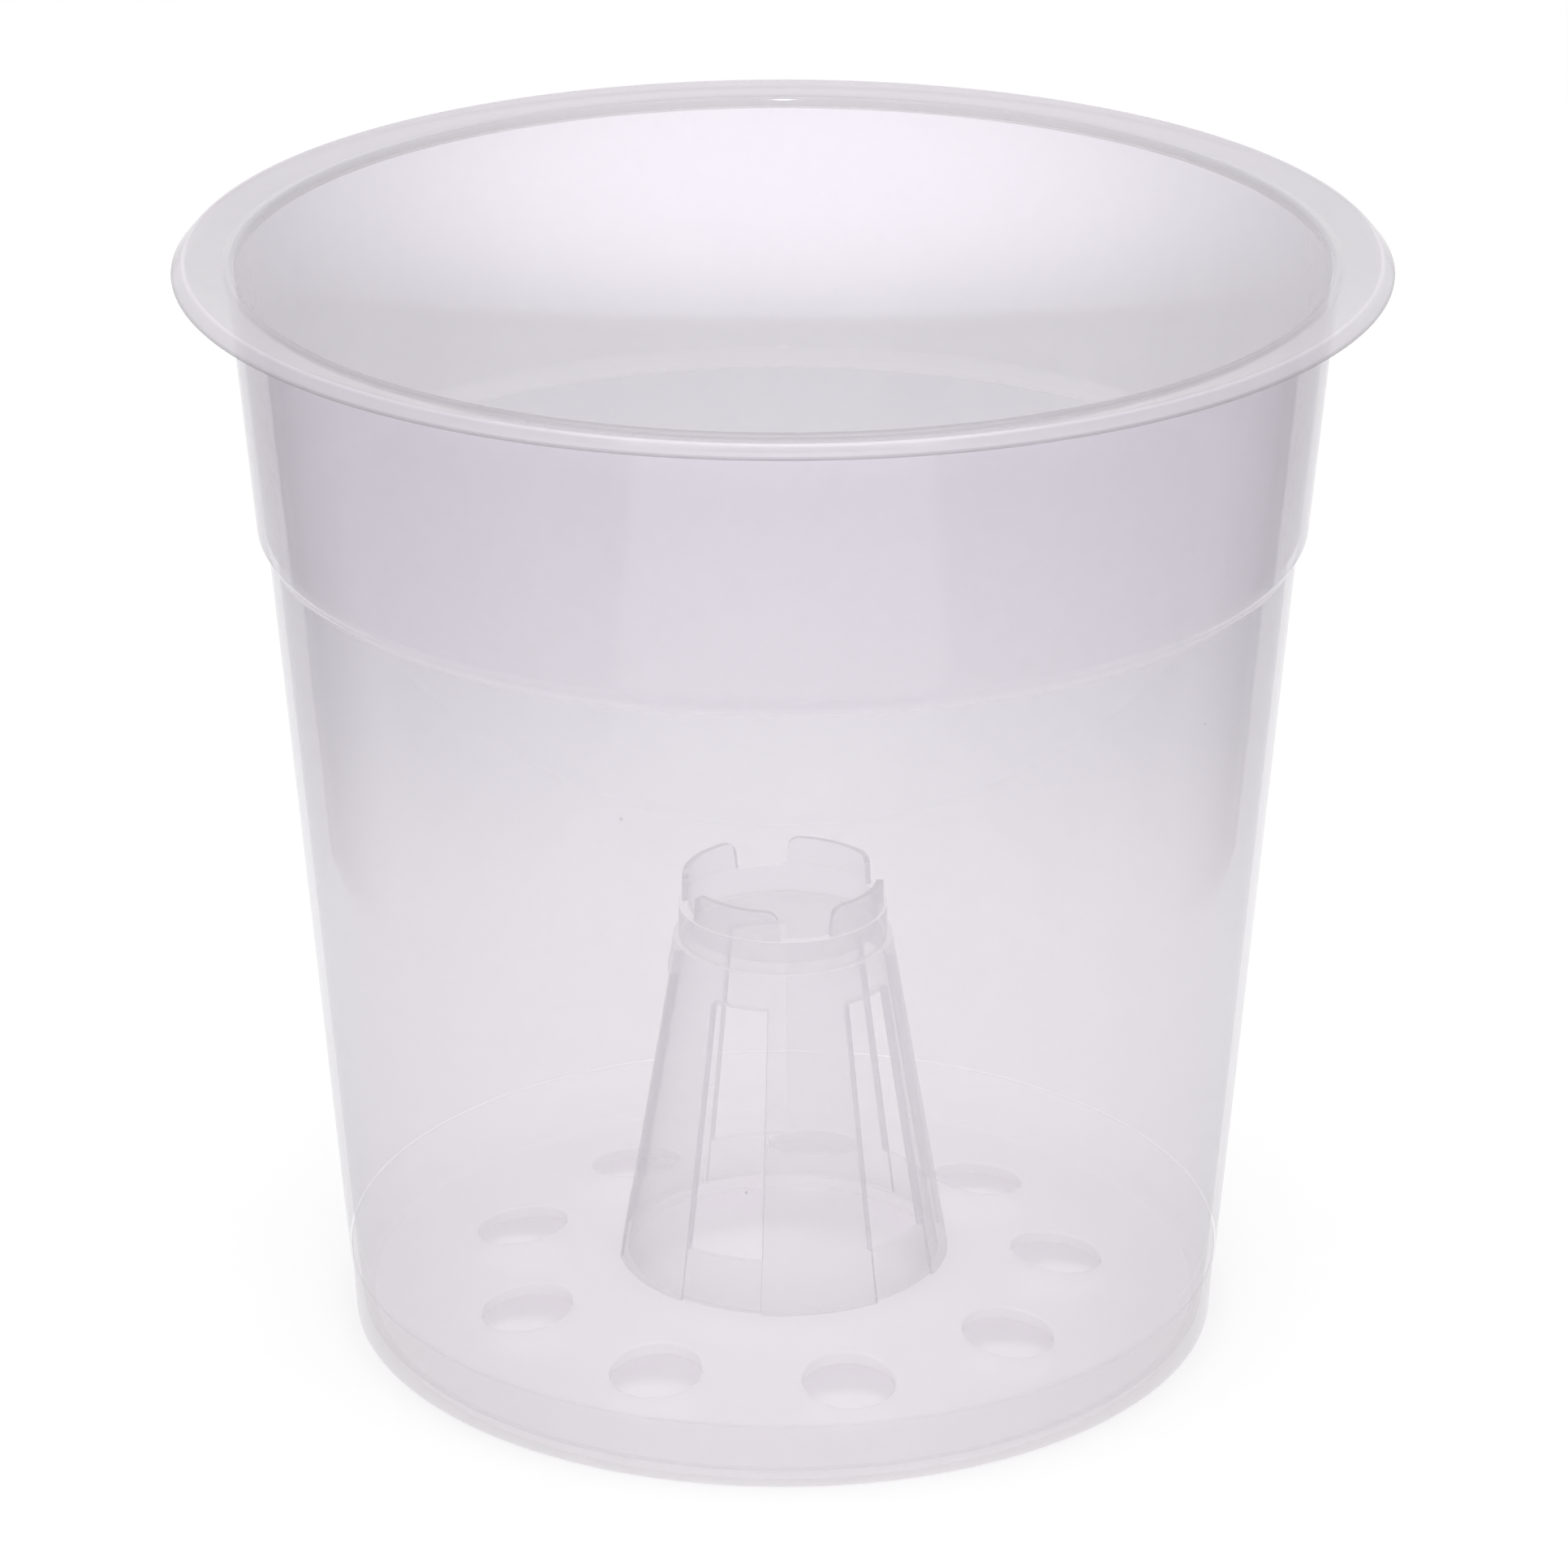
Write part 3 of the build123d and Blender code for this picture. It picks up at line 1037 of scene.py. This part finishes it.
panel_size = 1.0
panel_level = 3.0
panel = bpy.data.lights.new("top_panel", "AREA")
panel.shape = "RECTANGLE"
panel.size = panel.size_y = panel_size
panel.energy = panel_level * pi * panel_size**2
aimed("top_panel", panel, place=(0, 0, 1.4), target=(0, 0, 0)).visible_camera = False
beam = bpy.data.lights.new("inner_beam", "SPOT")
beam.energy = 18
beam.spot_size = radians(11)
beam.spot_blend = 1.0
beam.shadow_soft_size = 0.006
beam_flattening = (1, 0.3, 1)
aimed("inner_beam", beam, place=(0, -0.64, 0.248), target=(0, 0.052, 0.106)).scale = beam_flattening

# Light card and dark cards: low on the floor round the pot. The mirror image of the light one is the
# bright upright band on the front wall, and those of the dark ones are the darker bands beside it
# and the dark upright lines near the pot's sides. Each dark one clears towards its far edge.
near_level = 1.7
near_corners = [(-0.106, -0.17), (-0.133, -0.27), (0.133, -0.27), (0.106, -0.17)]
_, _, near_glow = card("near_card", [(x, y, card_height) for x, y in near_corners])
near_glow.inputs["Strength"].default_value = near_level
dark_cards = {  # corners on the right, and how dark its near edge is
    "back_flag": ([(0.125, 0.067), (0.24, 0.19), (0.275, 0.037), (0.13, 0.0)], 0.9),
    "front_flag": ([(0.106, -0.17), (0.133, -0.27), (0.30, 0.02), (0.125, 0.0)], 0.55),
}
for hand, hand_name in ((1, "right"), (-1, "left")):
    for flag_name, (flag_corners, edge_dark) in dark_cards.items():
        corners = [(hand * x, y, card_height) for x, y in flag_corners]
        flag, flag_tree, flag_glow = card(f"{flag_name}_{hand_name}", corners)
        flag_glow.inputs["Strength"].default_value = 0.0
        dark_share = flag.data.attributes.new("dark", "FLOAT", "POINT")
        dark_share.data.foreach_set("value", [edge_dark, edge_dark, 0.0, 0.0])
        flag_dark = flag_tree.nodes.new("ShaderNodeAttribute")
        flag_dark.attribute_name = "dark"
        flag_clear = flag_tree.nodes.new("ShaderNodeBsdfTransparent")
        flag_mix = flag_tree.nodes.new("ShaderNodeMixShader")
        flag_output = flag_tree.nodes["Material Output"]
        flag_tree.links.new(flag_dark.outputs["Fac"], flag_mix.inputs[0])
        flag_tree.links.new(flag_clear.outputs[0], flag_mix.inputs[1])
        flag_tree.links.new(flag_glow.outputs[0], flag_mix.inputs[2])
        flag_tree.links.new(flag_mix.outputs[0], flag_output.inputs[0])
        flag.visible_diffuse = False
        flag.visible_transmission = False

# Camera: at the photograph's distance, height and tilt. A ray may cross many clear faces of the pot
# before it ends.
camera_data = bpy.data.cameras.new("camera")
camera_data.lens = 157.45
camera_data.sensor_width = 36
camera_data.shift_x = 0.0007
camera = bpy.data.objects.new("camera", camera_data)
camera.location = (0, -0.6443, 0.31775)
camera.rotation_euler = (radians(67.95), 0, 0)
bpy.context.scene.collection.objects.link(camera)
bpy.context.scene.camera = camera
bpy.context.scene.view_settings.view_transform = "Standard"
bpy.context.scene.cycles.transparent_max_bounces = 40
